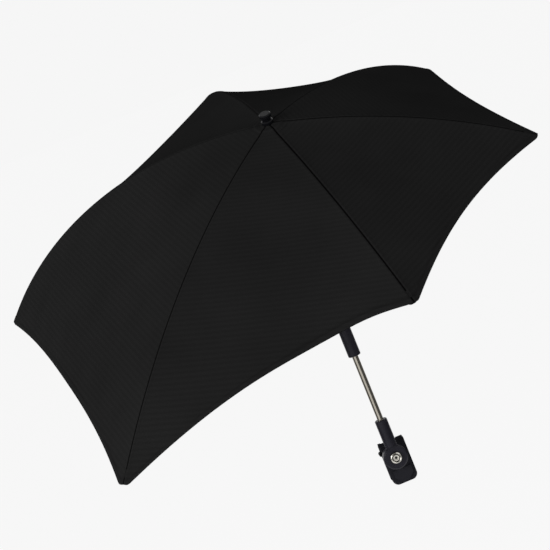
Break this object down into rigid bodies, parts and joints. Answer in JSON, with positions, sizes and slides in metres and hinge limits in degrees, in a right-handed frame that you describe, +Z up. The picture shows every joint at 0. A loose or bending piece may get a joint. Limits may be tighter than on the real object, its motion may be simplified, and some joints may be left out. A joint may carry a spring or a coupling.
{
  "type": "pram parasol",
  "caption": "Folding pram parasol: ribbed fabric canopy on a steel shaft with a tilt knuckle, swivel joint and screw clamp for a pram tube.",
  "frame": {"origin": "centre of the clamp's tube bore, halfway along the pads", "axes": "+Z up the lower shaft and along the clamped tube, -Y towards the swivel screw and the side the canopy leans to at rest, +X to the right seen from the screw side"},
  "size_m": [0.6694, 0.6516, 0.5481],
  "materials": {
    "plastic": "moulded, slightly satin",
    "finial": "semi-gloss moulded",
    "fabric": "fine ribbed weave",
    "steel": "polished tube",
    "chrome": "bright chrome",
    "rubber": "soft matt",
    "washer": "nylon",
    "rib": "pultruded fibreglass, satin black"
  },
  "bodies": {
    "clamp": {"clamp_body": "plastic", "clamp_hinge_pin": "steel", "clamp_pad_front": "rubber", "swivel_screw": "chrome", "swivel_nut": "steel", "swivel_washer": "washer"},
    "jaw": {"clamp_jaw": "plastic", "clamp_pad_rear": "rubber"},
    "closing_screw": {"clamp_screw": "steel"},
    "arm": {"swivel_socket": "plastic", "lower_shaft": "steel", "knuckle_sleeve": "plastic", "knuckle_pin": "steel"},
    "neck": {"knuckle_neck": "plastic", "upper_shaft": "steel", "crown_hub": "plastic", "crown_ring": "steel", "crown_patch": "fabric", "finial": "finial"},
    "runner": {"runner": "plastic"},
    "rib_1": {"rib_1": "rib", "rib_tip_1": "plastic", "rivet_1": "steel", "canopy_panel_1": "fabric"},
    "stretcher_1": {"stretcher_1": "rib"},
    "rib_2": {"rib_2": "rib", "rib_tip_2": "plastic", "rivet_2": "steel", "canopy_panel_2": "fabric"},
    "stretcher_2": {"stretcher_2": "rib"},
    "rib_3": {"rib_3": "rib", "rib_tip_3": "plastic", "rivet_3": "steel", "canopy_panel_3": "fabric"},
    "stretcher_3": {"stretcher_3": "rib"},
    "rib_4": {"rib_4": "rib", "rib_tip_4": "plastic", "rivet_4": "steel", "canopy_panel_4": "fabric"},
    "stretcher_4": {"stretcher_4": "rib"},
    "rib_5": {"rib_5": "rib", "rib_tip_5": "plastic", "rivet_5": "steel", "canopy_panel_5": "fabric"},
    "stretcher_5": {"stretcher_5": "rib"},
    "rib_6": {"rib_6": "rib", "rib_tip_6": "plastic", "rivet_6": "steel", "canopy_panel_6": "fabric"},
    "stretcher_6": {"stretcher_6": "rib"}
  },
  "joints": [
    {"name": "clamp_jaw_hinge", "type": "hinge", "parent": "clamp", "child": "jaw", "pos_m": [-0.012, -0.005, 0], "axis": [0, 0, 1], "range_deg": [0, 6]},
    {"name": "closing_screw_travel", "type": "slide", "parent": "clamp", "child": "closing_screw", "axis": [0, 1, 0], "range_m": [0, 0.0044]},
    {"name": "swivel", "type": "hinge", "parent": "clamp", "child": "arm", "pos_m": [0, -0.0213, 0.011], "axis": [0, -1, 0], "range_deg": [-90, 90]},
    {"name": "tilt", "type": "hinge", "parent": "arm", "child": "neck", "pos_m": [0, -0.0299, 0.208], "axis": [1, 0, 0], "range_deg": [-54, 6]},
    {"name": "runner_slide", "type": "slide", "parent": "neck", "child": "runner", "axis": [0, -0.4115, 0.9114], "range_m": [-0.14874, 0], "deforming": ["canopy_panel_1", "canopy_panel_2", "canopy_panel_3", "canopy_panel_4", "canopy_panel_5", "canopy_panel_6"]},
    {"name": "rib_1_hinge", "type": "hinge", "parent": "neck", "child": "rib_1", "pos_m": [-0.0111, -0.14277, 0.46908], "axis": [-0.3811, -0.8426, -0.3805], "range_deg": [-0.5, 58.5]},
    {"name": "stretcher_1_hinge", "type": "hinge", "parent": "rib_1", "child": "stretcher_1", "pos_m": [-0.10632, -0.09563, 0.46008], "axis": [-0.3811, -0.8426, -0.3805], "range_deg": [-116.5, 0.5]},
    {"name": "rib_2_hinge", "type": "hinge", "parent": "neck", "child": "rib_2", "pos_m": [-0.00797, -0.15511, 0.46351], "axis": [0.7478, -0.6051, -0.2732], "range_deg": [-0.5, 58.5]},
    {"name": "stretcher_2_hinge", "type": "hinge", "parent": "rib_2", "child": "stretcher_2", "pos_m": [-0.07635, -0.21395, 0.40665], "axis": [0.7478, -0.6051, -0.2732], "range_deg": [-116.5, 0.5]},
    {"name": "rib_3_hinge", "type": "hinge", "parent": "neck", "child": "rib_3", "pos_m": [0.00217, -0.15769, 0.46235], "axis": [0.9836, 0.1645, 0.0743], "range_deg": [-0.5, 58.5]},
    {"name": "stretcher_3_hinge", "type": "hinge", "parent": "rib_3", "child": "stretcher_3", "pos_m": [0.02076, -0.23866, 0.3955], "axis": [0.9836, 0.1645, 0.0743], "range_deg": [-116.5, 0.5]},
    {"name": "rib_4_hinge", "type": "hinge", "parent": "neck", "child": "rib_4", "pos_m": [0.01127, -0.15069, 0.46551], "axis": [0.3437, 0.8559, 0.3865], "range_deg": [-0.5, 58.5]},
    {"name": "stretcher_4_hinge", "type": "hinge", "parent": "rib_4", "child": "stretcher_4", "pos_m": [0.108, -0.17159, 0.42578], "axis": [0.3437, 0.8559, 0.3865], "range_deg": [-116.5, 0.5]},
    {"name": "rib_5_hinge", "type": "hinge", "parent": "neck", "child": "rib_5", "pos_m": [0.00912, -0.13983, 0.47041], "axis": [-0.6494, 0.693, 0.3129], "range_deg": [-0.5, 58.5]},
    {"name": "stretcher_5_hinge", "type": "hinge", "parent": "rib_5", "child": "stretcher_5", "pos_m": [0.08745, -0.0675, 0.47278], "axis": [-0.6494, 0.693, 0.3129], "range_deg": [-116.5, 0.5]},
    {"name": "rib_6_hinge", "type": "hinge", "parent": "neck", "child": "rib_6", "pos_m": [-0.00142, -0.13608, 0.47211], "axis": [-0.993, -0.1079, -0.0487], "range_deg": [-0.5, 58.5]},
    {"name": "stretcher_6_hinge", "type": "hinge", "parent": "rib_6", "child": "stretcher_6", "pos_m": [-0.01362, -0.0315, 0.48903], "axis": [-0.993, -0.1079, -0.0487], "range_deg": [-116.5, 0.5]}
  ],
  "couplings": [
    {"joint": "closing_screw_travel", "follows": "clamp_jaw_hinge", "m_per_rad": 0.041062},
    {"joint": "rib_1_hinge", "follows": "runner_slide", "rad_per_m": -6.8056},
    {"joint": "stretcher_1_hinge", "follows": "runner_slide", "rad_per_m": 13.611},
    {"joint": "rib_2_hinge", "follows": "runner_slide", "rad_per_m": -6.8056},
    {"joint": "stretcher_2_hinge", "follows": "runner_slide", "rad_per_m": 13.611},
    {"joint": "rib_3_hinge", "follows": "runner_slide", "rad_per_m": -6.8056},
    {"joint": "stretcher_3_hinge", "follows": "runner_slide", "rad_per_m": 13.611},
    {"joint": "rib_4_hinge", "follows": "runner_slide", "rad_per_m": -6.8056},
    {"joint": "stretcher_4_hinge", "follows": "runner_slide", "rad_per_m": 13.611},
    {"joint": "rib_5_hinge", "follows": "runner_slide", "rad_per_m": -6.8056},
    {"joint": "stretcher_5_hinge", "follows": "runner_slide", "rad_per_m": 13.611},
    {"joint": "rib_6_hinge", "follows": "runner_slide", "rad_per_m": -6.8056},
    {"joint": "stretcher_6_hinge", "follows": "runner_slide", "rad_per_m": 13.611}
  ]
}
